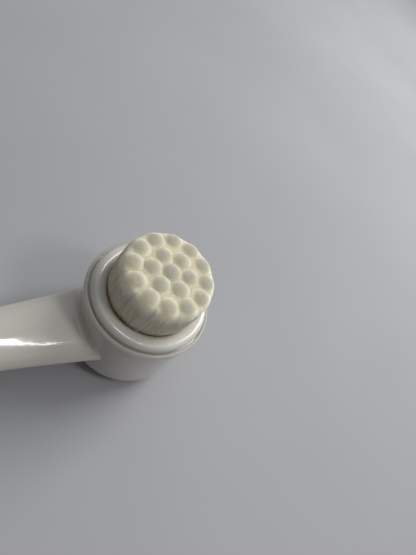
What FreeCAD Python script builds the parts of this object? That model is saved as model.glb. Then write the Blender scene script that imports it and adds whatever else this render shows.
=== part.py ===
import FreeCAD, Part
import math
import os
import re

import Sketcher

# A hand-held facial brush: a round cup head on a curved handle, a lift-out cartridge of soft
# tufts on the front and a silicone pad with nubs on the back.
# Frame: millimetres, +Z out of the bristles, the handle runs towards -X, and the brush lies on
# its nubs and the tip of its handle on the plane z = 0, with the head's axis through the origin.

DIMENSIONS = {
    # head, heights from the rest plane
    "cup_foot": 4.2,
    "cup_radius": 21.3,
    "cup_foot_round": 2.0,
    "lip_radius": 22.0,
    "lip_start": 30.4,
    "lip_shoulder": 30.9,
    "lip_top": 32.2,
    "lip_chamfer": 0.35,
    "seam_height": 15.8,
    "seam_gap": 0.15,
    # cartridge seat in the front shell
    "groove_radius": 20.9,
    "ledge_height": 31.0,
    "socket_radius": 17.5,
    "socket_foot": 22.0,
    "chamber_radius": 19.3,
    "chamber_top": 20.2,
    # pad seat in the back shell
    "pad_seat_radius": 18.3,
    "pad_seat_height": 7.0,
    "deck_top": 8.8,
    "stem_socket_radius": 9.0,
    "stem_socket_wall": 1.6,
    "stem_socket_top": 13.0,
    # handle
    "root_start": 10.0,
    "root_half_width": 14.2,
    "root_half_depth": 6.3,
    "neck_start": 44.0,
    "neck_half_width": 10.3,
    "neck_half_depth": 5.7,
    "grip_start": 76.0,
    "grip_half_width": 9.6,
    "grip_half_depth": 5.3,
    "palm_start": 110.0,
    "palm_half_width": 11.0,
    "palm_half_depth": 5.2,
    "handle_reach": 129.0,
    "bend_start": 20.0,
    "handle_drop": 12.34,
    "shell_wall": 1.9,
    "root_blend": 1.8,
    "cavity_start": 24.5,
    # pegs and sockets along the handle that line the two shells up
    "peg_1_place": 52.0,
    "peg_2_place": 84.0,
    "peg_3_place": 112.0,
    "peg_radius": 1.3,
    "peg_length": 3.0,
    "peg_clearance": 0.15,
    "peg_end_gap": 0.5,
    "peg_socket_wall": 1.2,
    "post_length": 60.0,
    # bristle cartridge
    "collar_radius": 20.4,
    "collar_top": 34.7,
    "collar_edge_round": 1.9,
    "collar_bore_top": 33.3,
    "spigot_radius": 17.35,
    "spigot_foot": 20.0,
    "plate_bore": 15.2,
    "bore_ledge_radius": 13.8,
    "bore_ledge_top": 22.0,
    "ring_height": 24.6,
    "ring_thickness": 1.1,
    "ring_slot_depth": 1.05,
    "ring_slot_play": 0.1,
    "ring_bed_gap": 0.05,
    "plate_clearance": 0.1,
    "backing_top": 24.0,
    "plate_top": 29.6,
    # tufts
    "inner_circle": 6.05,
    "outer_circle": 12.05,
    "tuft_turn": 6.0,
    "tuft_root_radius": 2.6,
    "tuft_tip_radius": 2.95,
    "tuft_hole_clearance": 0.05,
    "bloom_start": 31.0,
    "bloom_end": 37.0,
    "dome_height": 2.4,
    "centre_tuft_top": 49.8,
    "inner_tuft_top": 49.6,
    "outer_tuft_top": 49.4,
    # silicone pad
    "pad_radius": 18.0,
    "pad_face": 2.6,
    "pad_edge_round": 1.8,
    "nub_pitch": 3.3,
    "nub_root_radius": 1.15,
    "nub_taper": 10.0,
    "nub_sink": 0.2,
    "carrier_radius": 15.5,
    "carrier_foot": 5.4,
    "carrier_clearance": 0.1,
    "stem_radius": 8.85,
    "stem_wall": 1.8,
    "stem_top": 12.2,
    # how far cutting shapes reach past what they cut
    "overcut": 2.0,
}

NUB_RINGS = 4
INNER_TUFTS = 6
OUTER_TUFTS = 12
PEGS = ("peg_1", "peg_2", "peg_3")
FULL_TURN = 360
MATCH = 0.02

doc = FreeCAD.newDocument("FacialBrush")
sheet = doc.addObject("Spreadsheet::Sheet", "Sheet")
for row, (alias, value) in enumerate(DIMENSIONS.items(), start=1):
    sheet.set(f"A{row}", alias)
    sheet.set(f"B{row}", str(value))
    sheet.setAlias(f"B{row}", alias)
doc.recompute()


def bound(expression):
    """The expression with every dimension's name pointed at the sheet."""

    def point_at_sheet(word):
        return f"Sheet.{word[0]}" if word[0] in DIMENSIONS else word[0]

    return re.sub(r"[a-z][a-z_0-9]+", point_at_sheet, expression)


def size(expression):
    """The expression's present value."""
    found = sheet.evalExpression(bound(expression).replace("Sheet.", ""))
    return float(getattr(found, "Value", found))


def origin_plane(body, role):
    return next(f for f in body.Origin.OriginFeatures if f.Role == role)


def new_sketch(body, name, role, offset=None):
    sketch = body.newObject("Sketcher::SketchObject", name)
    sketch.AttachmentSupport = [(origin_plane(body, role), "")]
    sketch.MapMode = "FlatFace"
    if offset:
        sketch.setExpression(".AttachmentOffset.Base.z", bound(offset))
    return sketch


def name_and_bind(sketch, constraint, name, expression):
    index = sketch.addConstraint(constraint)
    sketch.renameConstraint(index, name)
    sketch.setExpression(f"Constraints.{name}", bound(expression))


def pin_vertex(sketch, geometry, end, label, across, up):
    """Holds one end of a line or arc at the two given expressions."""
    for axis, expression, kind in ((-2, across, "DistanceX"), (-1, up, "DistanceY")):
        if expression == "0":
            sketch.addConstraint(Sketcher.Constraint("PointOnObject", geometry, end, axis))
        else:
            value = size(expression)
            constraint = Sketcher.Constraint(kind, -1, 1, geometry, end, value)
            name_and_bind(sketch, constraint, f"{label}{kind[-1]}", expression)


def arc_between(start, finish, radius):
    """A counter-clockwise arc of a circle, and whether it begins at start."""
    chord = finish - start
    half = chord.Length / 2
    side = FreeCAD.Vector(-chord.y, chord.x, 0).normalize()
    centre = start + chord / 2 + side * math.sqrt(max(radius**2 - half**2, 0))
    first = math.atan2(start.y - centre.y, start.x - centre.x)
    last = math.atan2(finish.y - centre.y, finish.x - centre.x)
    if last < first:
        last += 2 * math.pi
    return Part.ArcOfCircle(Part.Circle(centre, FreeCAD.Vector(0, 0, 1), radius), first, last)


def outline(sketch, corners, arcs=None):
    """A closed outline through corners, counter-clockwise. arcs maps a side's number to its radius."""
    arcs = arcs or {}
    points = [FreeCAD.Vector(size(x), size(y), 0) for x, y in corners]
    count = len(points)
    for side in range(count):
        start, finish = points[side], points[(side + 1) % count]
        if side in arcs:
            sketch.addGeometry(arc_between(start, finish, size(arcs[side])))
        else:
            sketch.addGeometry(Part.LineSegment(start, finish))
    for side in range(count):
        sketch.addConstraint(Sketcher.Constraint("Coincident", side, 2, (side + 1) % count, 1))
        pin_vertex(sketch, side, 1, f"corner{side}", *corners[side])
        if side in arcs:
            curve = Sketcher.Constraint("Radius", side, size(arcs[side]))
            name_and_bind(sketch, curve, f"curve{side}", arcs[side])


def circle_sketch(body, name, height, radius, offset=None):
    """A circle on a level plane, on the axis or offset from it along X."""
    sketch = new_sketch(body, name, "XY_Plane", height)
    place = FreeCAD.Vector(size(offset) if offset else 0, 0, 0)
    sketch.addGeometry(Part.Circle(place, FreeCAD.Vector(0, 0, 1), size(radius)))
    if offset:
        sketch.addConstraint(Sketcher.Constraint("PointOnObject", 0, 3, -1))
        distance = Sketcher.Constraint("DistanceX", -1, 1, 0, 3, place.x)
        name_and_bind(sketch, distance, "offset", offset)
    else:
        sketch.addConstraint(Sketcher.Constraint("Coincident", 0, 3, -1, 1))
    name_and_bind(sketch, Sketcher.Constraint("Radius", 0, size(radius)), "radius", radius)
    return sketch


def turned(name, corners, arcs=None):
    """A body turned about the Z axis from its half section."""
    body = doc.addObject("PartDesign::Body", name)
    sketch = new_sketch(body, f"{name}_section", "XZ_Plane")
    outline(sketch, corners, arcs)
    spin = body.newObject("PartDesign::Revolution", f"{name}_turning")
    spin.Profile = sketch
    spin.ReferenceAxis = (sketch, ["V_Axis"])
    spin.Angle = FULL_TURN
    doc.recompute()
    return body


def round_edges(body, radius, places):
    """Rounds the circular edges found at the given radius and height expressions."""
    wanted = [(size(r), size(z)) for r, z in places]
    base = body.Tip
    names = []
    for number, edge in enumerate(base.Shape.Edges, start=1):
        centre = edge.BoundBox.Center
        reach = edge.BoundBox.XLength / 2
        if any(abs(reach - r) < MATCH and abs(centre.z - z) < MATCH for r, z in wanted):
            names.append(f"Edge{number}")
    fillet = body.newObject("PartDesign::Fillet", f"{body.Name}_rounding_{radius}")
    fillet.Base = (base, names)
    fillet.setExpression("Radius", bound(radius))
    body.Tip = fillet
    doc.recompute()


def primitive(kind, name, **sizes):
    """A Part primitive with its properties bound to expressions."""
    thing = doc.addObject(kind, name)
    for attribute, expression in sizes.items():
        thing.setExpression(attribute, bound(expression))
    return thing


def combine(kind, name, base, tool):
    thing = doc.addObject(kind, name)
    thing.Base = base
    thing.Tool = tool
    return thing


def fuse_all(name, shapes):
    thing = doc.addObject("Part::MultiFuse", name)
    thing.Shapes = shapes
    return thing


# ---------------------------------------------------------------- handle and head form

STATIONS = ("neck", "grip", "palm")
TAIL_STEPS = (0.5, 0.78, 0.93, 0.99)


def spine_height(reach):
    """Height of the handle's middle line at a distance from the head's axis."""
    return f"(seam_height - handle_drop * (({reach} - bend_start) / (handle_reach - bend_start)) ^ 2)"


def oval(reach, half_width, half_depth, height):
    """A closed oval across the handle, in two halves that meet at the parting line."""
    centre = FreeCAD.Vector(-size(reach), 0, size(height))
    side = centre + FreeCAD.Vector(0, size(half_width), 0)
    top = centre + FreeCAD.Vector(0, 0, size(half_depth))
    curve = Part.Ellipse(side, top, centre)
    return Part.Wire([curve.toShape(0, math.pi), curve.toShape(math.pi, 2 * math.pi)])


def handle_loft(name, inset, root_reach):
    """The handle's solid, drawn in by inset all round: a loft of ovals that close in to a round tail."""
    sections = [oval(root_reach, f"root_half_width - {inset}", f"root_half_depth - {inset}", "seam_height")]
    for station in STATIONS:
        reach = f"{station}_start"
        width = f"{station}_half_width - {inset}"
        sections.append(oval(reach, width, f"{station}_half_depth - {inset}", spine_height(reach)))
    for step in TAIL_STEPS:
        reach = f"(palm_start + (handle_reach - {inset} - palm_start) * {step})"
        shrink = math.sqrt(1 - step**2)
        width = f"(palm_half_width - {inset}) * {shrink}"
        depth = f"(palm_half_depth - {inset}) * {shrink}"
        sections.append(oval(reach, width, depth, spine_height(reach)))
    solid = doc.addObject("Part::Feature", name)
    solid.Shape = Part.makeLoft(sections, True, False, False, 3)
    return solid


def outer_form():
    """The solid outside of the brush: the cup with its rounded bead of a lip, and the handle."""
    lip_width = "(lip_radius - groove_radius - lip_chamfer)"
    lip_height = "(lip_top - lip_shoulder)"
    cup = turned(
        "cup_form",
        [
            ("0", "cup_foot"),
            ("cup_radius", "cup_foot"),
            ("cup_radius", "lip_start - lip_radius + cup_radius"),
            ("lip_radius", "lip_start"),
            ("lip_radius", "lip_shoulder"),
            ("groove_radius + lip_chamfer", "lip_top"),
            ("0", "lip_top"),
        ],
        {4: f"({lip_width} ^ 2 + {lip_height} ^ 2) / (2 * {lip_width})"},
    )
    round_edges(cup, "cup_foot_round", [("cup_radius", "cup_foot")])
    whole = combine("Part::Fuse", "outer_form", cup, handle_loft("handle_form", "0", "root_start"))
    doc.recompute()
    return blend_root(whole)


def blend_root(whole):
    """Rounds the line where the handle grows out of the cup's wall."""
    radius = size("root_blend")
    cup_radius = size("cup_radius")
    edges = []
    for number, edge in enumerate(whole.Shape.Edges, start=1):
        first, last = edge.ParameterRange
        points = [edge.valueAt(first + (last - first) * k / 4) for k in range(5)]
        on_wall = all(abs(math.hypot(p.x, p.y) - cup_radius) < MATCH for p in points)
        if on_wall and max(p.x for p in points) < 0 and edge.BoundBox.ZLength > 1:
            edges.append((number, radius, radius))
    rounded = doc.addObject("Part::Fillet", "outer_form_blended")
    rounded.Base = whole
    rounded.Edges = edges
    doc.recompute()
    return rounded


def head_cavity():
    """Everything open inside the head: cartridge seat, chamber, stem socket and pad seat."""
    stem_wall = "stem_socket_radius + stem_socket_wall"
    return turned(
        "head_cavity",
        [
            ("0", "cup_foot - overcut"),
            ("pad_seat_radius", "cup_foot - overcut"),
            ("pad_seat_radius", "pad_seat_height"),
            ("stem_socket_radius", "pad_seat_height"),
            ("stem_socket_radius", "stem_socket_top"),
            (stem_wall, "stem_socket_top"),
            (stem_wall, "deck_top"),
            ("chamber_radius", "deck_top"),
            ("chamber_radius", "chamber_top"),
            ("socket_radius", "socket_foot"),
            ("socket_radius", "ledge_height"),
            ("groove_radius", "ledge_height"),
            ("groove_radius", "lip_top - lip_chamfer"),
            ("groove_radius + lip_chamfer + overcut", "lip_top + overcut"),
            ("0", "lip_top + overcut"),
        ],
    )


def seam_block():
    """A block filling everything below the parting line: level under the head, then down with the handle."""
    body = doc.addObject("PartDesign::Body", "seam_block")
    sketch = new_sketch(body, "seam_block_side", "XZ_Plane")
    end = "(handle_reach + overcut)"
    bottom = "-lip_radius"
    corners = [
        (f"-{end}", bottom),
        ("lip_radius + overcut", bottom),
        ("lip_radius + overcut", "seam_height"),
        ("-bend_start", "seam_height"),
        (f"-{end}", spine_height(end)),
    ]
    outline(sketch, corners, {3: "(handle_reach - bend_start) ^ 2 / (2 * handle_drop)"})
    pad = body.newObject("PartDesign::Pad", "seam_block_pad")
    pad.Profile = sketch
    pad.Midplane = True
    pad.setExpression("Length", bound("2 * (lip_radius + overcut)"))
    doc.recompute()
    return body


def upright(name, radius, place, bottom):
    """A round post that stands across the handle."""
    post = primitive("Part::Cylinder", name, Radius=radius, Height="post_length")
    post.setExpression(".Placement.Base.x", bound(f"-{place}"))
    post.setExpression(".Placement.Base.z", bound(bottom))
    return post


def pegs(inside):
    """Pegs that hang from the front shell, trimmed to the handle's outside."""
    posts = []
    for peg in PEGS:
        place = f"{peg}_place"
        posts.append(upright(peg, "peg_radius", place, f"{spine_height(place)} - peg_length"))
    return combine("Part::Common", "pegs_trimmed", fuse_all("pegs", posts), inside)


def peg_sockets(inside):
    """Tubes that stand in the back shell and take the pegs."""
    bore_radius = "peg_radius + peg_clearance"
    tubes = []
    for peg in PEGS:
        place = f"{peg}_place"
        middle = spine_height(place)
        wall_radius = f"{bore_radius} + peg_socket_wall"
        wall = upright(f"{peg}_socket_wall", wall_radius, place, f"{middle} - post_length")
        bore = upright(f"{peg}_socket_bore", bore_radius, place, f"{middle} - peg_length - peg_end_gap")
        tubes.append(combine("Part::Cut", f"{peg}_socket", wall, bore))
    return combine("Part::Common", "peg_sockets_trimmed", fuse_all("peg_sockets", tubes), inside)


def shells():
    """The front and back halves of the hollow body, with the pegs that line them up."""
    form = outer_form()
    handle_hollow = handle_loft("handle_cavity", "shell_wall", "cavity_start")
    hollow = combine("Part::Fuse", "body_cavity", head_cavity(), handle_hollow)
    walls = combine("Part::Cut", "body_walls", form, hollow)
    below = seam_block()
    raised = doc.addObject("Part::Feature", "raised_seam_block")
    doc.recompute()
    raised.Shape = below.Shape
    raised.setExpression(".Placement.Base.z", bound("seam_gap"))
    front = combine("Part::Cut", "front_half", walls, raised)
    back = combine("Part::Common", "back_half", walls, below)
    return {
        "handle_front_shell": combine("Part::Fuse", "handle_front_shell", front, pegs(form)),
        "handle_back_shell": combine("Part::Fuse", "handle_back_shell", back, peg_sockets(form)),
    }


# ---------------------------------------------------------------- bristle cartridge


def bristle_collar():
    """The ring round the tufts, rolled over to its bore, with the spigot that pushes into the head."""
    slot_radius = "spigot_radius - ring_slot_depth"
    slot_half = "(ring_thickness / 2 + ring_slot_play)"
    crown_width = "(collar_radius - collar_edge_round - plate_bore)"
    crown_height = "(collar_top - collar_bore_top)"
    crown_radius = f"({crown_width} ^ 2 + {crown_height} ^ 2) / (2 * {crown_height})"
    return turned(
        "bristle_collar",
        [
            ("bore_ledge_radius", "spigot_foot"),
            ("spigot_radius", "spigot_foot"),
            ("spigot_radius", f"ring_height - {slot_half}"),
            (slot_radius, f"ring_height - {slot_half}"),
            (slot_radius, f"ring_height + {slot_half}"),
            ("spigot_radius", f"ring_height + {slot_half}"),
            ("spigot_radius", "ledge_height"),
            ("collar_radius", "ledge_height"),
            ("collar_radius", "collar_top - collar_edge_round"),
            ("collar_radius - collar_edge_round", "collar_top"),
            ("plate_bore", "collar_bore_top"),
            ("plate_bore", "bore_ledge_top"),
            ("bore_ledge_radius", "bore_ledge_top"),
        ],
        {8: "collar_edge_round", 9: crown_radius},
    )


def seal_ring():
    ring = primitive(
        "Part::Torus",
        "cartridge_seal_ring",
        Radius1="spigot_radius - ring_slot_depth + ring_bed_gap + ring_thickness / 2",
        Radius2="ring_thickness / 2",
    )
    ring.setExpression(".Placement.Base.z", bound("ring_height"))
    return ring


def tuft_layout():
    """Each tuft's name, the circle it stands on, its top and its bearing in degrees."""
    yield "centre_tuft", None, "centre_tuft_top", "0"
    for number in range(INNER_TUFTS):
        bearing = f"(tuft_turn + {FULL_TURN / INNER_TUFTS * (number + 0.5)})"
        yield f"inner_tuft_{number + 1}", "inner_circle", "inner_tuft_top", bearing
    for number in range(OUTER_TUFTS):
        bearing = f"(tuft_turn + {FULL_TURN / OUTER_TUFTS * number})"
        yield f"outer_tuft_{number + 1}", "outer_circle", "outer_tuft_top", bearing


def tuft_plate():
    """The perforated disc that holds the roots of the tufts."""
    body = doc.addObject("PartDesign::Body", "tuft_plate")
    pad = body.newObject("PartDesign::Pad", "tuft_plate_disc")
    pad.Profile = circle_sketch(body, "tuft_plate_rim", "backing_top", "plate_bore - plate_clearance")
    pad.setExpression("Length", bound("plate_top - backing_top"))
    doc.recompute()
    for circle, count in ((None, 1), ("inner_circle", INNER_TUFTS), ("outer_circle", OUTER_TUFTS)):
        bore_row(body, circle, count)
    turn = f"(tuft_turn + {FULL_TURN / OUTER_TUFTS}) * 1 deg"
    body.setExpression(".Placement.Rotation.Angle", bound(turn))
    return body


def bore_row(body, circle, count):
    """One hole through the plate, repeated around a circle."""
    name = circle or "centre"
    radius = "tuft_root_radius + tuft_hole_clearance"
    before = body.Tip.Shape.Volume
    pocket = body.newObject("PartDesign::Pocket", f"{name}_bore")
    pocket.Profile = circle_sketch(body, f"{name}_hole", "plate_top", radius, circle)
    pocket.Type = "ThroughAll"
    doc.recompute()
    if count > 1:
        body.Tip = around_axis(body, pocket, f"{name}_bores", count)
    doc.recompute()
    removed = before - body.Tip.Shape.Volume
    expected = count * math.pi * size(radius) ** 2 * size("plate_top - backing_top")
    if abs(removed - expected) > 0.01 * expected:
        raise RuntimeError(f"{name} holes removed {removed:.1f} of {expected:.1f} cubic millimetres")


def around_axis(body, feature, name, count):
    pattern = body.newObject("PartDesign::PolarPattern", name)
    pattern.Originals = [feature]
    pattern.Axis = (origin_plane(body, "Z_Axis"), [""])
    pattern.Angle = FULL_TURN
    pattern.Occurrences = count
    return pattern


def tuft(name, circle, top, bearing):
    """A bundle of fibres, narrow in its hole, fuller at its domed tip."""
    dome_foot = f"{top} - dome_height"
    dome_radius = "(tuft_tip_radius ^ 2 + dome_height ^ 2) / (2 * dome_height)"
    body = turned(
        name,
        [
            ("0", "backing_top"),
            ("tuft_root_radius", "backing_top"),
            ("tuft_root_radius", "bloom_start"),
            ("tuft_tip_radius", "bloom_end"),
            ("tuft_tip_radius", dome_foot),
            ("0", top),
        ],
        {4: dome_radius},
    )
    if circle:
        body.setExpression(".Placement.Base.x", bound(f"{circle} * cos({bearing} * 1 deg)"))
        body.setExpression(".Placement.Base.y", bound(f"{circle} * sin({bearing} * 1 deg)"))
    return body


def cartridge():
    backing = primitive(
        "Part::Cylinder",
        "tuft_backing_disc",
        Radius="plate_bore - plate_clearance",
        Height="backing_top - bore_ledge_top",
    )
    backing.setExpression(".Placement.Base.z", bound("bore_ledge_top"))
    pieces = {
        "bristle_collar": bristle_collar(),
        "cartridge_seal_ring": seal_ring(),
        "tuft_backing_disc": backing,
        "tuft_plate": tuft_plate(),
    }
    for name, circle, top, bearing in tuft_layout():
        pieces[name] = tuft(name, circle, top, bearing)
    return pieces


# ---------------------------------------------------------------- silicone pad


def silicone_pad():
    """The soft pad: a disc with a rounded edge, hollowed for its carrier, with rings of tapered nubs."""
    body = turned(
        "silicone_pad",
        [
            ("0", "pad_face"),
            ("pad_radius", "pad_face"),
            ("pad_radius", "pad_seat_height"),
            ("carrier_radius + carrier_clearance", "pad_seat_height"),
            ("carrier_radius + carrier_clearance", "carrier_foot"),
            ("0", "carrier_foot"),
        ],
    )
    round_edges(body, "pad_edge_round", [("pad_radius", "pad_face")])
    for ring in range(NUB_RINGS + 1):
        add_nubs(body, ring)
    return body


def add_nubs(body, ring):
    """The tapered nubs of one ring, six more than the ring inside it."""
    offset = f"{ring} * nub_pitch" if ring else None
    nub = body.newObject("PartDesign::Pad", f"nub_{ring}")
    nub.Profile = circle_sketch(body, f"nub_{ring}_root", "pad_face + nub_sink", "nub_root_radius", offset)
    nub.Reversed = True
    nub.setExpression("Length", bound("pad_face + nub_sink"))
    nub.setExpression("TaperAngle", bound("-nub_taper"))
    doc.recompute()
    if ring:
        body.Tip = around_axis(body, nub, f"nub_ring_{ring}", 6 * ring)
        doc.recompute()


def pad_carrier():
    """The stiff plate that backs the pad, with the hollow stem that pushes into the back shell."""
    return turned(
        "pad_carrier",
        [
            ("0", "carrier_foot"),
            ("carrier_radius", "carrier_foot"),
            ("carrier_radius", "pad_seat_height"),
            ("stem_radius", "pad_seat_height"),
            ("stem_radius", "stem_top"),
            ("stem_radius - stem_wall", "stem_top"),
            ("stem_radius - stem_wall", "pad_seat_height"),
            ("0", "pad_seat_height"),
        ],
    )


def check_and_write(pieces):
    """Writes every piece to its own file, once every object has been found sound."""
    doc.recompute()
    for thing in doc.Objects:
        if {"Invalid", "Error"} & set(thing.State):
            raise RuntimeError(f"{thing.Name} failed: {thing.State}")
    for name, piece in pieces.items():
        if piece.Shape.isNull() or not piece.Shape.isValid():
            raise RuntimeError(f"{name} has no sound shape")
    os.makedirs("parts", exist_ok=True)
    for name, piece in pieces.items():
        piece.Label = name
        piece.Shape.exportStep(f"parts/{name}.step")
        solids = len(piece.Shape.Solids)
        box = piece.Shape.BoundBox
        print(f"{name}: {solids} solid, {piece.Shape.Volume:.1f} mm3, z {box.ZMin:.2f} to {box.ZMax:.2f}")


check_and_write({**shells(), **cartridge(), "silicone_pad": silicone_pad(), "pad_carrier": pad_carrier()})
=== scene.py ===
import math
import random

import bpy
import numpy as np
from mathutils import Matrix, Vector


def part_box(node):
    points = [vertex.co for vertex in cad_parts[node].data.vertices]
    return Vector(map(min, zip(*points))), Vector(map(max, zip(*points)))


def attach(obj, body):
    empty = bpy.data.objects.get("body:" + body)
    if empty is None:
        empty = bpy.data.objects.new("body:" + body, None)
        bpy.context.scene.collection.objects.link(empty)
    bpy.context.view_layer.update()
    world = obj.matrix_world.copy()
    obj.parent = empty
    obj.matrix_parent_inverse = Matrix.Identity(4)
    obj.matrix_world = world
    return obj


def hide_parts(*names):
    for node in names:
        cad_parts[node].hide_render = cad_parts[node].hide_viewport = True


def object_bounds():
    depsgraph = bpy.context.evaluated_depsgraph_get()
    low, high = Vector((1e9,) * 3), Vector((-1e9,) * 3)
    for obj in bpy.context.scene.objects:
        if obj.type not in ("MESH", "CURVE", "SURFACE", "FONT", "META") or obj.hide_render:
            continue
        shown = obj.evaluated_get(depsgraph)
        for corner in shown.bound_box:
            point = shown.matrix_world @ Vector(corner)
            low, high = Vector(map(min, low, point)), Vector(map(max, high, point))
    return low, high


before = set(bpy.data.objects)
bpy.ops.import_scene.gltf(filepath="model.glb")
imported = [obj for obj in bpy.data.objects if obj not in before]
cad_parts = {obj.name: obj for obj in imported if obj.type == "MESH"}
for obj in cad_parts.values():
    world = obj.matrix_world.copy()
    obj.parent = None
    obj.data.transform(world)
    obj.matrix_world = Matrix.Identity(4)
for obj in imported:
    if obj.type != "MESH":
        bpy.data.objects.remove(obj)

CAD_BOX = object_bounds()
MM = 0.001

# ---------------------------------------------------------------- places read from the frame


def node_box(name):
    """Low and high corner of one node's box."""
    low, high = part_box(name)
    return Vector(low), Vector(high)


SHELL_LOW, SHELL_HIGH = node_box("handle_front_shell")
_, COLLAR_HIGH = node_box("bristle_collar")
_, PLATE_HIGH = node_box("tuft_plate")
PAD_LOW, PAD_HIGH = node_box("silicone_pad")
CARRIER_LOW, CARRIER_HIGH = node_box("pad_carrier")
TUFT_NODES = sorted(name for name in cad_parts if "_tuft" in name and not name.startswith("tuft_"))
BRUSH_TOP = CAD_BOX[1].z

LIP_RADIUS = (SHELL_HIGH.y - SHELL_LOW.y) / 2
LIP_DEPTH = 2.2 * MM  # from the top of the shell to the widest line of its lip
LIP_CENTRE = Vector((0, 0, SHELL_HIGH.z - LIP_DEPTH))


# ---------------------------------------------------------------- shader helpers


class Shader:
    """A material's node tree with short ways to add and join its nodes."""

    def __init__(self, name):
        self.material = bpy.data.materials.new(name)
        self.material.use_nodes = True
        self.tree = self.material.node_tree
        self.surface = self.tree.nodes["Principled BSDF"]
        self.place = self.add("ShaderNodeTexCoord").outputs["Object"]

    def add(self, kind, **settings):
        """A new node with some of its settings."""
        node = self.tree.nodes.new(kind)
        for key, value in settings.items():
            setattr(node, key, value)
        return node

    def join(self, source, target):
        self.tree.links.new(source, target)

    def set(self, **values):
        """Constants on the surface's sockets."""
        for key, value in values.items():
            self.surface.inputs[key.replace("_", " ")].default_value = value

    def noise(self, scale, detail=3.0, rough=0.5, stretch=(1, 1, 1), shift=(0, 0, 0)):
        """Noise from 0 to 1, fixed to the piece, with about scale features in a metre."""
        moved = self.add("ShaderNodeMapping")
        moved.inputs["Scale"].default_value = stretch
        moved.inputs["Location"].default_value = shift
        self.join(self.place, moved.inputs["Vector"])
        noise = self.add("ShaderNodeTexNoise")
        noise.inputs["Scale"].default_value = scale
        noise.inputs["Detail"].default_value = detail
        noise.inputs["Roughness"].default_value = rough
        self.join(moved.outputs["Vector"], noise.inputs["Vector"])
        return noise.outputs["Fac"]

    def ramp(self, value, *stops):
        """A colour that changes with a value, from stops of (value, colour)."""
        ramp = self.add("ShaderNodeValToRGB")
        points = ramp.color_ramp.elements
        while len(points) < len(stops):
            points.new(0.5)
        for point, (at, colour) in zip(points, stops):
            point.position = at
            point.color = (*colour, 1)
        self.join(value, ramp.inputs["Fac"])
        return ramp.outputs["Color"]

    def spread(self, value, low, high, start=0.3, stop=0.7):
        """A value stretched so that start to stop becomes low to high."""
        spread = self.add("ShaderNodeMapRange")
        for key, number in (("From Min", start), ("From Max", stop), ("To Min", low), ("To Max", high)):
            spread.inputs[key].default_value = number
        self.join(value, spread.inputs["Value"])
        return spread.outputs["Result"]

    def blend(self, share, first, second, kind="MIX"):
        """The first colour, and by share the second mixed in or multiplied on."""
        mix = self.add("ShaderNodeMix", data_type="RGBA", blend_type=kind)
        self.join(share, mix.inputs["Factor"])
        self.join(first, mix.inputs["A"])
        self.join(second, mix.inputs["B"])
        return mix.outputs["Result"]

    def tint(self, first, second):
        """Two colours multiplied."""
        mix = self.add("ShaderNodeMix", data_type="RGBA", blend_type="MULTIPLY")
        mix.inputs["Factor"].default_value = 1
        self.join(first, mix.inputs["A"])
        self.join(second, mix.inputs["B"])
        return mix.outputs["Result"]

    def bump(self, height, distance, strength=1.0, after=None):
        """A normal bent by a height, on top of another bump."""
        bump = self.add("ShaderNodeBump")
        bump.inputs["Distance"].default_value = distance
        bump.inputs["Strength"].default_value = strength
        self.join(height, bump.inputs["Height"])
        if after:
            self.join(after, bump.inputs["Normal"])
        return bump.outputs["Normal"]


# ---------------------------------------------------------------- materials


def gloss_white(name, tint, shift):
    """High-gloss moulded plastic: faint colour drift, polish that varies and very shallow ripple."""
    s = Shader(name)
    s.set(IOR=1.5, Coat_Weight=0.5, Coat_Roughness=0.04, Subsurface_Weight=0.06)
    s.surface.inputs["Subsurface Radius"].default_value = (1.0, 0.9, 0.75)
    s.surface.inputs["Subsurface Scale"].default_value = 0.8 * MM
    drift = s.noise(38, 3, 0.55, shift=shift)
    fine = s.noise(900, 2, 0.6, shift=shift)
    pale = tuple(min(c * 1.03, 1) for c in tint)
    deep = tuple(c * 0.955 for c in tint)
    tone = s.ramp(drift, (0.3, deep), (0.52, tint), (0.74, pale))
    specks = s.ramp(fine, (0.28, (0.975, 0.97, 0.965)), (0.42, (1, 1, 1)))
    s.join(s.tint(tone, specks), s.surface.inputs["Base Color"])
    s.join(s.spread(s.noise(70, 4, 0.6, shift=shift), 0.1, 0.19), s.surface.inputs["Roughness"])
    ripple = s.bump(s.noise(60, 1, 0.4, shift=shift), 0.02 * MM, 0.3)
    grain = s.bump(fine, 0.003 * MM, 0.5, after=ripple)
    s.join(grain, s.surface.inputs["Normal"])
    return s.material


DOME_TINT_FROM, DOME_TINT_TO = BRUSH_TOP - 3.4 * MM, BRUSH_TOP - 1.7 * MM
VEINS_FROM, VEINS_TO = BRUSH_TOP - 6 * MM, BRUSH_TOP - 2.5 * MM


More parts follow.
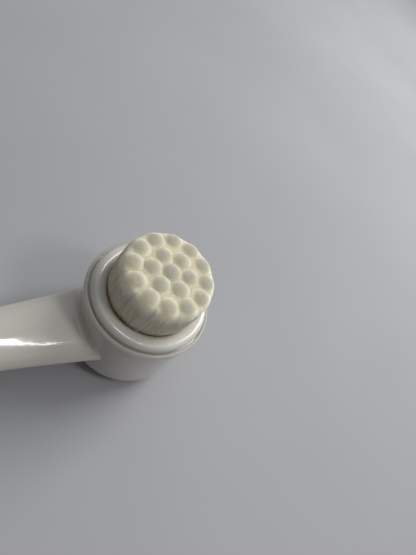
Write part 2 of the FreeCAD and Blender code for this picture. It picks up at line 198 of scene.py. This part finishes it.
def bristle_fibre(name, scatter):
    """Soft fibre: ivory domes, valleys lighter and yellower as painted light, streaks of clumped fibres down
    the side, and dark brown at the foot as painted shade.

    The mesh layers depth and paleness say where a point lies in a valley or shows a fibre's side; over the
    shoulder the paleness is also painted light.
    """
    s = Shader(name)
    s.set(IOR=1.45, Sheen_Weight=0.15, Sheen_Roughness=0.5, Specular_IOR_Level=0.3)
    s.set(Subsurface_Weight=scatter)
    s.surface.inputs["Subsurface Radius"].default_value = (1.0, 0.86, 0.62)
    s.surface.inputs["Subsurface Scale"].default_value = 2.2 * MM
    depth = s.add("ShaderNodeAttribute", attribute_name="depth").outputs["Fac"]
    split = s.add("ShaderNodeSeparateXYZ")
    s.join(s.place, split.inputs["Vector"])
    height = split.outputs["Z"]
    # The dark brown at the foot is painted shade: the shadowed gap between the bundle and the collar, tinted
    # warm.
    body = s.ramp(
        s.spread(height, 0, 1, PLATE_HIGH.z, BRUSH_TOP),
        (0.0, (0.16, 0.085, 0.03)),
        (0.24, (0.48, 0.3, 0.12)),
        (0.3, (0.74, 0.59, 0.36)),
        (0.36, (0.88, 0.82, 0.64)),
        (0.8, (0.93, 0.89, 0.74)),
        (1.0, (0.78, 0.75, 0.62)),
    )
    # The valleys (depth 1) are lighter and yellower than the domes: painted light that offsets the valleys'
    # shade and stands in for light glowing through the fibres.
    top = s.ramp(depth, (0.1, (0.462, 0.452, 0.37)), (0.55, (0.59, 0.555, 0.425)), (1.0, (0.84, 0.77, 0.54)))
    top_share = s.spread(height, 0, 1, DOME_TINT_FROM, DOME_TINT_TO)
    base = s.blend(top_share, body, top)
    clumps = s.noise(2000, 3, 0.7, stretch=(1, 1, 0.03))
    veins = s.ramp(clumps, (0.38, (0.68, 0.63, 0.52)), (0.5, (0.88, 0.85, 0.77)), (0.6, (1, 1, 1)))
    vein_share = s.spread(height, 0.85, 0.12, VEINS_FROM, VEINS_TO)
    streaked = s.blend(vein_share, base, veins, "MULTIPLY")
    pale = s.ramp(clumps, (0.3, (0.84, 0.79, 0.67)), (0.7, (0.92, 0.88, 0.77)))
    paleness = s.add("ShaderNodeAttribute", attribute_name="paleness").outputs["Fac"]
    s.join(s.blend(paleness, streaked, pale), s.surface.inputs["Base Color"])
    s.join(s.spread(clumps, 0.6, 0.85), s.surface.inputs["Roughness"])
    fuzz = s.bump(s.noise(2300, 2, 0.5), 0.05 * MM, 0.5)
    s.join(s.bump(clumps, 0.1 * MM, 0.5, after=fuzz), s.surface.inputs["Normal"])
    return s.material


def pink_silicone(name):
    """Satin silicone: a little see-through, with faint flow clouds and a fine matt grain."""
    s = Shader(name)
    s.set(IOR=1.41, Subsurface_Weight=0.45, Sheen_Weight=0.1)
    s.surface.inputs["Subsurface Radius"].default_value = (1.0, 0.42, 0.38)
    s.surface.inputs["Subsurface Scale"].default_value = 1.6 * MM
    clouds = s.noise(150, 4, 0.55)
    grain = s.noise(2400, 2, 0.5)
    tone = s.ramp(clouds, (0.3, (0.8, 0.38, 0.41)), (0.52, (0.87, 0.47, 0.49)), (0.75, (0.92, 0.56, 0.57)))
    s.join(tone, s.surface.inputs["Base Color"])
    s.join(s.spread(grain, 0.36, 0.55), s.surface.inputs["Roughness"])
    s.join(s.bump(grain, 0.015 * MM, 0.6, after=s.bump(clouds, 0.05 * MM, 0.3)), s.surface.inputs["Normal"])
    return s.material


def moulded_plain(name, tint, gloss=0.45):
    """Unpolished inner moulding: mottled tone, spark-eroded grain."""
    s = Shader(name)
    mottle = s.noise(240, 4, 0.6)
    grain = s.noise(3000, 2, 0.6)
    deep = tuple(c * 0.84 for c in tint)
    s.join(s.ramp(mottle, (0.3, deep), (0.7, tint)), s.surface.inputs["Base Color"])
    s.join(s.spread(grain, gloss, gloss + 0.2), s.surface.inputs["Roughness"])
    s.join(s.bump(grain, 0.02 * MM, 0.7), s.surface.inputs["Normal"])
    return s.material


def floor_paper(name):
    """Pale matt sweep with the faintest unevenness."""
    s = Shader(name)
    s.set(Specular_IOR_Level=0.25)
    cloud = s.noise(6, 3, 0.5)
    grain = s.noise(700, 3, 0.6)
    tone = s.ramp(cloud, (0.3, (0.34, 0.345, 0.366)), (0.7, (0.375, 0.38, 0.402)))
    s.join(tone, s.surface.inputs["Base Color"])
    s.join(s.spread(grain, 0.6, 0.8), s.surface.inputs["Roughness"])
    s.join(s.bump(grain, 0.02 * MM, 0.4), s.surface.inputs["Normal"])
    return s.material


def dress(piece, material):
    """Puts one material on every face of a piece."""
    piece.data.materials.clear()
    piece.data.materials.append(material)


# ---------------------------------------------------------------- mesh helpers


def new_piece(name, mesh, material, body, stands_for):
    """Puts a new mesh in the scene, on a moving body and in place of a CAD node."""
    piece = bpy.data.objects.new(name, mesh)
    bpy.context.scene.collection.objects.link(piece)
    dress(piece, material)
    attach(piece, body)
    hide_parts(stands_for)


def mesh_from(name, points, faces):
    """A smooth-shaded mesh."""
    mesh = bpy.data.meshes.new(name)
    mesh.from_pydata([tuple(p) for p in points], [], faces)
    mesh.update()
    mesh.polygons.foreach_set("use_smooth", [True] * len(mesh.polygons))
    return mesh


def tube_faces(rings, around, first, cap_start=True):
    """Faces that join rings of points in order, capped at the last ring and as a rule at the first."""
    faces = []
    for ring in range(rings - 1):
        low = first + ring * around
        for k in range(around):
            after = (k + 1) % around
            faces.append((low + k, low + after, low + around + after, low + around + k))
    if cap_start:
        faces.append(tuple(first + k for k in reversed(range(around))))
    faces.append(tuple(first + (rings - 1) * around + k for k in range(around)))
    return faces


# ---------------------------------------------------------------- tufts
# The tufts stand so close that they make one bundle. Each fills the space up to its neighbours.

FOOT = PLATE_HIGH.z
BUNDLE_RADIUS = COLLAR_HIGH.x * 0.77
BUNDLE_WAIST = COLLAR_HIGH.x * 0.71  # at the foot, inside the collar
FLARE_HEIGHT = 8 * MM  # from the foot to where the bundle is at its widest
FLUTE_DEPTH = 0.22 * MM
LEAN = Vector((0.6, -0.34)) * MM  # of the top, in X and Y
LEAN_POWER = 1.3
CELL_GAP = 0.01 * MM  # from a tuft to the line half way to its neighbour
CLOSE_FACING = 0.05  # a neighbour further off to the side than this doesn't bound a tuft

SHOULDER = 2.0 * MM
TOP_FALL = 0.45 * MM  # from the middle of the top to its edge
DOME_SPREAD = 3.15 * MM
DOME_DEPTH = 1.05 * MM
DOME_POWER = 2.3
DOME_REACH = 1.5  # dome spreads after which a dome has no effect
DOME_BLEND = 0.35 * MM
DOME_SINK = 0.45  # part of the shoulder's drop that the domes follow from its start
# Paleness on the rim: partly the pale sides of the fibres, partly painted light over the shaded shoulder and
# the top of the side.
RIM_PALE_AND_PAINTED_LIGHT = 0.6
RIM_SPEED = 1.6  # how soon the paleness comes in over the shoulder: early, so that it also paints light over the shoulder's shade
TOP_ROUGH = 0.03 * MM
SMOOTH_MIDDLE = 0.15  # share of a tuft's radius that is even
ROUGH_SPEED = 2.5

TOP_RINGS = 26
SIDE_ROWS = 36
ROW_POWER = 1.15  # sets the rows of the side a little closer at the top
RELIEF_ROWS = 5  # rows over which the ridges come in below the rim
PALE_ROWS = 12  # rows over which the paleness of the rim fades
OUTER_AROUND = 240
INNER_AROUND = 90
EVEN_SHARE, CROWDED_SHARE = 0.55, 0.45  # how evenly the points go round an outer tuft

RIDGES = 480  # points round the bundle
RIDGE_SIZES = ((2, 0.035), (5, 0.05), (16, 0.04))  # points for each random knot, and spread in mm
RIDGE_LOW, RIDGE_HIGH = -0.3, 0.16  # in mm

SIDE_STRANDS = 90
LOOSE_EVERY = 18
LYING_DRIFT, LOOSE_DRIFT = 0.035, 0.09  # spread of a strand's turn round the bundle, in radians
LYING_LIFT, LOOSE_LIFT = (0.0, 0.08), (0.15, 0.45)  # in mm
STRAND_WIDTH = (0.03, 0.055)  # in mm
STRAND_START = (2, 9)  # in mm above the foot
STRAND_STOP = (3.4, 7)  # in mm below the top
STRAND_STEPS = 8
STRAND_SIDES = 4
STRAND_END = 0.35  # width of a fibre's far end, as a share of its width
TIP_FIBRES = 260
TIP_SPREAD = 0.97  # of the tuft's reach
TIP_LEAN = (0.1, 0.5)  # outwards at one dome spread, for a length of 1
TIP_LENGTH = (0.04, 0.15)  # in mm
TIP_WIDTH = (0.02, 0.035)  # in mm
TIP_SUNK = 0.1 * MM
TIP_PALE = 0.4


def site_of(node):
    """Where a tuft stands, in X and Y, and how high it reaches."""
    low, high = node_box(node)
    return Vector(((low.x + high.x) / 2, (low.y + high.y) / 2)), high.z


SITES = {name: site_of(name) for name in TUFT_NODES}
HEAD_TOP = max(top for _, top in SITES.values())
OUTER_SITES = [site for site, _ in SITES.values() if site.length > BUNDLE_RADIUS / 2]


def is_outer(name):
    """Whether a tuft stands in the outer ring."""
    return SITES[name][0] in OUTER_SITES


def smooth_step(share):
    """0 to 1 with soft ends."""
    share = min(max(share, 0), 1)
    return share * share * (3 - 2 * share)


def flute(x, y):
    """1 on the line between two outer tufts, 0 in line with a tuft."""
    near = max(site.normalized().dot(Vector((x, y)).normalized()) for site in OUTER_SITES)
    return smooth_step(math.acos(min(near, 1)) / (math.pi / len(OUTER_SITES)))


def bundle_radius(height, x, y):
    """The bundle's radius on the side of (x, y): held in by the collar, fluted towards the top."""
    full = BUNDLE_WAIST + (BUNDLE_RADIUS - BUNDLE_WAIST) * smooth_step((height - FOOT) / FLARE_HEIGHT)
    return full - FLUTE_DEPTH * flute(x, y) * smooth_step((height - FOOT) / (HEAD_TOP - FOOT))


def leaned(x, y, height):
    """A point of the bundle after its free length has leaned over a little."""
    share = max((height - COLLAR_HIGH.z) / (HEAD_TOP - COLLAR_HIGH.z), 0) ** LEAN_POWER
    return x + LEAN.x * share, y + LEAN.y * share, height


def smooth_max(first, second, soft):
    """The greater of two heights, blended where they differ by less than soft."""
    share = max(soft - abs(first - second), 0) / soft
    return max(first, second) + share * share * soft / 4


def crown(x, y):
    """Height of the trimmed top, with a low dome on each tuft, and its shade: depth (1 deep in a valley, 0
    on a dome) and paleness (1 on the rim, where fibres show their sides and light is painted over the
    shoulder's shade, 0 further in)."""
    edge = BUNDLE_RADIUS - FLUTE_DEPTH * flute(x, y)
    reach = math.hypot(x, y)
    round_share = min(max(reach - (edge - SHOULDER), 0) / SHOULDER, 1)
    drop = SHOULDER * (1 - math.sqrt(1 - round_share**2))
    height = HEAD_TOP - DOME_DEPTH - TOP_FALL * (reach / edge) ** 2 - drop
    dome_drop = drop * (DOME_SINK + (1 - DOME_SINK) * round_share**2)
    for site, top in SITES.values():
        away = math.hypot(x - site.x, y - site.y) / DOME_SPREAD
        if away < DOME_REACH:
            height = smooth_max(height, top - DOME_DEPTH * away**DOME_POWER - dome_drop, DOME_BLEND)
    flat_height = height + dome_drop
    depth = min(max((HEAD_TOP - TOP_FALL * (reach / edge) ** 2 - flat_height) / DOME_DEPTH, 0), 1)
    return height, (depth, RIM_PALE_AND_PAINTED_LIGHT * smooth_step(RIM_SPEED * round_share))


def cell_reach(name, direction):
    """How far a tuft spreads one way, and whether it meets the open side there, not a neighbour."""
    site = SITES[name][0]
    along = site.dot(direction)
    reach = -along + math.sqrt(along**2 - site.length_squared + BUNDLE_RADIUS**2)
    for _ in range(3):
        x, y = site + direction * reach
        edge = BUNDLE_RADIUS - FLUTE_DEPTH * flute(x, y)
        reach = -along + math.sqrt(along**2 - site.length_squared + edge**2)
    free = True
    for other, _ in SITES.values():
        gap = other - site
        facing = gap.normalized().dot(direction) if gap.length > 0 else 0
        if facing > CLOSE_FACING and gap.length / 2 / facing < reach:
            reach = gap.length / 2 / facing
            free = False
    return reach - CELL_GAP, free


def ridge_heights(seed):
    """A closed row of random ridges round the bundle: fine fibres on clumps of about a millimetre."""
    draw = random.Random(seed)
    row = np.zeros(RIDGES)
    for step, size in RIDGE_SIZES:
        knots = [draw.gauss(0, size) for _ in range(RIDGES // step)]
        row += np.interp(np.arange(RIDGES), np.linspace(0, RIDGES, len(knots) + 1), knots + knots[:1])
    return np.clip(row, RIDGE_LOW, RIDGE_HIGH) * MM


RIDGE_ROW = ridge_heights("bundle side")


def relief(x, y, height):
    """How far the side stands out at a point. The ridges wander as they climb."""
    bearing = math.atan2(y, x)
    climb = (height - FOOT) / (HEAD_TOP - FOOT)
    wander = 0.006 * math.sin(2.5 * climb + 7 * bearing) + 0.003 * math.sin(23 * bearing + 5 * climb)
    turn = ((bearing / (2 * math.pi) + wander) % 1) * RIDGES
    low = int(turn) % RIDGES
    share = turn - int(turn)
    return RIDGE_ROW[low] * (1 - share) + RIDGE_ROW[(low + 1) % RIDGES] * share


def edge_angle(name, share):
    """The direction from a tuft's middle for a share from -1 to 1, closer together on the open side."""
    site = SITES[name][0]
    if is_outer(name):
        return math.atan2(site.y, site.x) + math.pi * (EVEN_SHARE * share + CROWDED_SHARE * share**3)
    return math.pi * share


def tuft_body(name, points, shades, faces):
    """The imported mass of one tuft: domed top, and sides that fill its share of the bundle."""
    draw = random.Random(name)
    site = SITES[name][0]
    around = OUTER_AROUND if is_outer(name) else INNER_AROUND
    edge = []
    for k in range(around):
        angle = edge_angle(name, 2 * k / around - 1)
        direction = Vector((math.cos(angle), math.sin(angle)))
        edge.append((direction, *cell_reach(name, direction)))
    points.append(leaned(*site, crown(*site)[0]))
    shades.append((0, 0))
    for ring in range(1, TOP_RINGS + 1):
        share = ring / TOP_RINGS
        roughness = min(max(share - SMOOTH_MIDDLE, 0) * ROUGH_SPEED, 1) * (ring < TOP_RINGS)
        for direction, reach, _ in edge:
            x, y = site + direction * reach * share
            height, shade = crown(x, y)
            rough = draw.gauss(0, TOP_ROUGH) * roughness
            points.append(leaned(x, y, height + rough))
            shades.append(shade)
    for row in range(1, SIDE_ROWS + 1):
        climb = (row / SIDE_ROWS) ** ROW_POWER
        for direction, reach, free in edge:
            x, y = site + direction * reach
            top = crown(x, y)[0]
            height = top + (FOOT - top) * climb
            scale = bundle_radius(height, x, y) / bundle_radius(HEAD_TOP, x, y)
            if free:
                scale += relief(x, y, height) * min(row / RELIEF_ROWS, 1) / BUNDLE_RADIUS
            points.append(leaned(x * scale, y * scale, height))
            shades.append((0, RIM_PALE_AND_PAINTED_LIGHT * max(1 - row / PALE_ROWS, 0)) if free else (1, 0))
    for k in range(around):
        faces.append((0, 1 + k, 1 + (k + 1) % around))
    faces += tube_faces(TOP_RINGS + SIDE_ROWS, around, 1, cap_start=False)


def strand(points, shades, faces, path, width, paleness):
    """A thin four-sided fibre along a path, narrower at its far end."""
    first = len(points)
    for number, (x, y, z) in enumerate(path):
        thick = width * (STRAND_END if number == len(path) - 1 else 1)
        for side in range(STRAND_SIDES):
            turn = 2 * math.pi * side / STRAND_SIDES
            points.append((x + thick * math.cos(turn), y + thick * math.sin(turn), z))
            shades.append((0, paleness))
    faces += tube_faces(len(path), STRAND_SIDES, first)


def side_strands(name, points, shades, faces):
    """Fibres that lie on the outside of the bundle and cross it a little askew, a few of them loose."""
    draw = random.Random(f"{name} side")
    bearing = math.atan2(SITES[name][0].y, SITES[name][0].x)
    half_turn = math.pi / len(OUTER_SITES)
    for number in range(SIDE_STRANDS):
        loose = number % LOOSE_EVERY == 0
        middle = bearing + draw.uniform(-half_turn, half_turn)
        drift = draw.gauss(0, LOOSE_DRIFT if loose else LYING_DRIFT)
        width = draw.uniform(*STRAND_WIDTH) * MM
        lift = draw.uniform(*(LOOSE_LIFT if loose else LYING_LIFT)) * MM
        bottom = FOOT + draw.uniform(*STRAND_START) * MM
        top = HEAD_TOP - draw.uniform(*STRAND_STOP) * MM
        path = []
        for step in range(STRAND_STEPS):
            share = step / (STRAND_STEPS - 1)
            height = bottom + (top - bottom) * share
            angle = middle + drift * (share - 0.5)
            x, y = math.cos(angle), math.sin(angle)
            radius = bundle_radius(height, x, y) + relief(x, y, height)
            radius += lift * math.sin(math.pi * share**2)
            path.append(leaned(radius * x, radius * y, height))
        strand(points, shades, faces, path, width, 1.0)


def tip_fibres(name, points, shades, faces):
    """Short fibre ends that stand out of a dome."""
    draw = random.Random(f"{name} tips")
    site = SITES[name][0]
    for _ in range(TIP_FIBRES):
        angle = draw.uniform(0, 2 * math.pi)
        direction = Vector((math.cos(angle), math.sin(angle)))
        reach = cell_reach(name, direction)[0] * math.sqrt(draw.random()) * TIP_SPREAD
        x, y = site + direction * reach
        x, y, height = leaned(x, y, crown(x, y)[0])
        lean = direction * (reach / DOME_SPREAD) * draw.uniform(*TIP_LEAN)
        length = draw.uniform(*TIP_LENGTH) * MM
        path = [(x, y, height - TIP_SUNK), (x + lean.x * length, y + lean.y * length, height + length)]
        strand(points, shades, faces, path, draw.uniform(*TIP_WIDTH) * MM, TIP_PALE)


def tuft(name, packed, loose):
    """One tuft: its packed mass in one material, and the loose fibres on it in another."""
    points, shades, faces = [], [], []
    tuft_body(name, points, shades, faces)
    packed_faces = len(faces)
    tip_fibres(name, points, shades, faces)
    if is_outer(name):
        side_strands(name, points, shades, faces)
    mesh = mesh_from(f"{name}_fibres", points, faces)
    for layer_name, values in zip(("depth", "paleness"), zip(*shades)):
        layer = mesh.attributes.new(layer_name, "FLOAT", "POINT")
        layer.data.foreach_set("value", values)
    new_piece(f"{name}_fibres", mesh, packed, "bristle_cartridge", name)
    mesh.materials.append(loose)
    mesh.polygons.foreach_set("material_index", [int(k >= packed_faces) for k in range(len(faces))])


# ---------------------------------------------------------------- silicone pad

PAD_AROUND = 160
NUB_RINGS = 4
NUB_AROUND = 24
NUB_LENGTH = 2.6 * MM
NUB_PITCH = 3.3 / 18  # of the pad's radius
NUB_FOOT = 1.2 * MM
NUB_TIP = 0.75 * MM
NUB_ROUND = 0.35 * MM
PAD_ROUND = 1.8 * MM
PAD_PLAY = 0.1 * MM


def lathe(points, faces, outline, around, centre=(0, 0)):
    """Adds the surface that an outline of (radius, height) makes when it turns about a centre."""
    first = len(points)
    for radius, height in outline:
        for k in range(around):
            angle = 2 * math.pi * k / around
            x, y = radius * math.cos(angle), radius * math.sin(angle)
            points.append((centre[0] + x, centre[1] + y, height))
    faces += tube_faces(len(outline), around, first)


def arc(centre, radius, start, stop, steps):
    """Points (radius, height) on an arc, angles in degrees from straight out."""
    for k in range(steps + 1):
        angle = math.radians(start + (stop - start) * k / steps)
        yield centre[0] + radius * math.cos(angle), centre[1] + radius * math.sin(angle)


def silicone_pad(material):
    """The pad with its rounded rim and rings of soft-tipped nubs. It fits round its carrier."""
    rim = PAD_HIGH.x
    top = PAD_HIGH.z
    face = PAD_LOW.z + NUB_LENGTH
    recess = CARRIER_HIGH.x + PAD_PLAY
    pitch = rim * NUB_PITCH
    outline = [(0.2 * MM, CARRIER_LOW.z), (recess, CARRIER_LOW.z), (recess, top - 0.02 * MM)]
    outline += [(rim - 0.15 * MM, top - 0.02 * MM), (rim, top - 0.2 * MM)]
    outline += list(arc((rim - PAD_ROUND, face + PAD_ROUND), PAD_ROUND, 0, -90, 12))
    outline += [(rim * share, face) for share in (0.7, 0.45, 0.2, 0.01)]
    points, faces = [], []
    lathe(points, faces, outline, PAD_AROUND)
    nub = [
        (NUB_FOOT + 0.35 * MM, face + 0.05 * MM),
        (NUB_FOOT + 0.08 * MM, face - 0.22 * MM),
        (NUB_FOOT - 0.1 * MM, face - 0.6 * MM),
    ]
    nub += list(arc((NUB_TIP - NUB_ROUND + 0.12 * MM, NUB_ROUND), NUB_ROUND, -8, -90, 6))
    nub.append((0.05 * MM, 0))
    for ring in range(NUB_RINGS + 1):
        count = max(1, 6 * ring)
        for k in range(count):
            angle = 2 * math.pi * k / count
            centre = (ring * pitch * math.cos(angle), ring * pitch * math.sin(angle))
            lathe(points, faces, nub, NUB_AROUND, centre)
    mesh = mesh_from("nubbed_pad", points, faces)
    new_piece("nubbed_pad", mesh, material, "back_pad", "silicone_pad")


# ---------------------------------------------------------------- camera, light and floor

VIEW_PLACE = Vector((-2.904, -2.2436, 5.393))  # from the lip's centre, in lip radii
VIEW_RIGHT = Vector((0.8143, -0.3474, 0.4649))
VIEW_BACK = Vector((-0.5717, -0.3418, 0.7459))
SENSOR = 36  # mm
FOCAL_SHARE = 417 / 555  # focal length, as a share of the sensor
BRIGHT_SIDE = (0.45, 0.2, 0.86)
BRIGHT_ROOM = (0.58, 0.59, 0.6, 1)
DARK_ROOM = (0.045, 0.04, 0.033, 1)
DARK_UNTIL = 0.52  # share of the way from the dark side to the bright side
FLOOR_HALF = 3.0
FLOOR_GAP = 0.2 * MM


def camera():
    """The camera, above the handle and in front of it, looking down on the head."""
    data = bpy.data.cameras.new("camera")
    data.sensor_width = SENSOR
    data.lens = SENSOR * FOCAL_SHARE
    data.clip_start = 0.01
    data.clip_end = 20
    seen = bpy.data.objects.new("camera", data)
    bpy.context.scene.collection.objects.link(seen)
    back = VIEW_BACK.normalized()
    up = back.cross(VIEW_RIGHT).normalized()
    right = up.cross(back)
    turn = Matrix((right, up, back)).transposed().to_4x4()
    seen.matrix_world = Matrix.Translation(LIP_CENTRE + VIEW_PLACE * LIP_RADIUS) @ turn
    bpy.context.scene.camera = seen


def window_light(name, toward, aim, distance, side, power, tint):
    """A large square lamp in a direction from the head, turned to shine on another point."""
    data = bpy.data.lights.new(name, "AREA")
    data.size = side
    data.energy = power
    data.color = tint
    lamp = bpy.data.objects.new(name, data)
    bpy.context.scene.collection.objects.link(lamp)
    lamp.location = LIP_CENTRE + Vector(toward).normalized() * distance
    lamp.rotation_mode = "QUATERNION"
    lamp.rotation_quaternion = (Vector(aim) - lamp.location).to_track_quat("-Z", "Y")
    return lamp


def strip_light(name, first, last, width, power):
    """A long lamp overhead between two points, seen only in gloss. It makes the streak on the handle."""
    data = bpy.data.lights.new(name, "AREA")
    data.shape = "RECTANGLE"
    ends = [Vector(first), Vector(last)]
    data.size, data.size_y = (ends[1] - ends[0]).length, width
    data.energy = power
    lamp = bpy.data.objects.new(name, data)
    bpy.context.scene.collection.objects.link(lamp)
    middle = (ends[0] + ends[1]) / 2
    long_side = (ends[1] - ends[0]).normalized()
    away = (middle - long_side * middle.dot(long_side)).normalized()
    turn = Matrix((long_side, away.cross(long_side), away)).transposed().to_4x4()
    lamp.matrix_world = Matrix.Translation(LIP_CENTRE + middle) @ turn
    lamp.visible_diffuse = False


def world_light():
    """Even room light, fading from the bright side of the room to the dark side."""
    world = bpy.data.worlds.new("studio")
    bpy.context.scene.world = world
    world.use_nodes = True
    tree = world.node_tree
    place = tree.nodes.new("ShaderNodeTexCoord")
    along = tree.nodes.new("ShaderNodeVectorMath")
    along.operation = "DOT_PRODUCT"
    along.inputs[1].default_value = Vector(BRIGHT_SIDE).normalized()
    spread = tree.nodes.new("ShaderNodeMapRange")
    spread.inputs["From Min"].default_value = -1
    ramp = tree.nodes.new("ShaderNodeValToRGB")
    dark, light = ramp.color_ramp.elements
    dark.position, dark.color = DARK_UNTIL, DARK_ROOM
    light.position, light.color = 1.0, BRIGHT_ROOM
    tree.links.new(place.outputs["Generated"], along.inputs[0])
    tree.links.new(along.outputs["Value"], spread.inputs["Value"])
    tree.links.new(spread.outputs["Result"], ramp.inputs["Fac"])
    tree.links.new(ramp.outputs["Color"], tree.nodes["Background"].inputs["Color"])


def floor(material):
    """A wide flat sheet just below the brush."""
    corners = [(x * FLOOR_HALF, y * FLOOR_HALF, 0) for x, y in ((-1, -1), (1, -1), (1, 1), (-1, 1))]
    mesh = mesh_from("floor", corners, [(0, 1, 2, 3)])
    ground = bpy.data.objects.new("floor", mesh)
    bpy.context.scene.collection.objects.link(ground)
    ground.location.z = CAD_BOX[0].z - FLOOR_GAP
    dress(ground, material)


# ---------------------------------------------------------------- the model
# Loose fibres get no scattering: light doesn't build up inside so thin a strand, and it would look dark.

# The shell's tint is darker and browner than the collar's, though both are one white plastic: painted shade
# for the dim, warm shade and reflection on the cup's side.
shell_white_painted_shade = gloss_white("shell_white_painted_shade", (0.6, 0.575, 0.53), (0, 0, 0))
collar_white = gloss_white("collar_white", (0.64, 0.63, 0.59), (3, 1, 2))
for node_name in ("handle_front_shell", "handle_back_shell"):
    dress(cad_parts[node_name], shell_white_painted_shade)
dress(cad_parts["bristle_collar"], collar_white)
# The plate shows down the crevice at the bundle's foot; its dark brown is painted shade for that crevice.
dress(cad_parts["tuft_plate"], moulded_plain("plate_painted_crevice_shade", (0.3, 0.22, 0.13)))
dress(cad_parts["tuft_backing_disc"], moulded_plain("backing_plastic", (0.7, 0.69, 0.66)))
dress(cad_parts["pad_carrier"], moulded_plain("carrier_plastic", (0.74, 0.73, 0.71)))
dress(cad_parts["cartridge_seal_ring"], moulded_plain("seal_silicone", (0.6, 0.6, 0.6), 0.35))

packed_fibre = bristle_fibre("bristle_fibre_packed", 0.8)
loose_fibre = bristle_fibre("bristle_fibre_loose", 0.0)
for node_name in TUFT_NODES:
    tuft(node_name, packed_fibre, loose_fibre)
silicone_pad(pink_silicone("silicone_pink"))

floor(floor_paper("floor_paper"))
world_light()
camera()
window_light(
    "window",
    toward=(0.72, 0.2, 0.64),
    aim=(0.15, 0.2, 0.0),
    distance=0.9,
    side=0.5,
    power=6.0,
    tint=(1.0, 0.99, 0.97),
)
second_window = window_light(
    "second_window",
    toward=(0.35, -0.45, 0.82),
    aim=(0.0, 0.0, 0.03),
    distance=0.6,
    side=0.12,
    power=0.68,
    tint=(1.0, 0.985, 0.95),
)
second_window.visible_glossy = False
strip_light("strip_wide", (-0.05, 0.04, 0.6), (-0.03, -0.1, 0.6), width=0.045, power=0.41)
strip_light("strip_narrow", (-0.03, -0.1, 0.6), (0.055, -0.25, 0.6), width=0.028, power=0.27)
bpy.context.scene.view_settings.view_transform = "Standard"
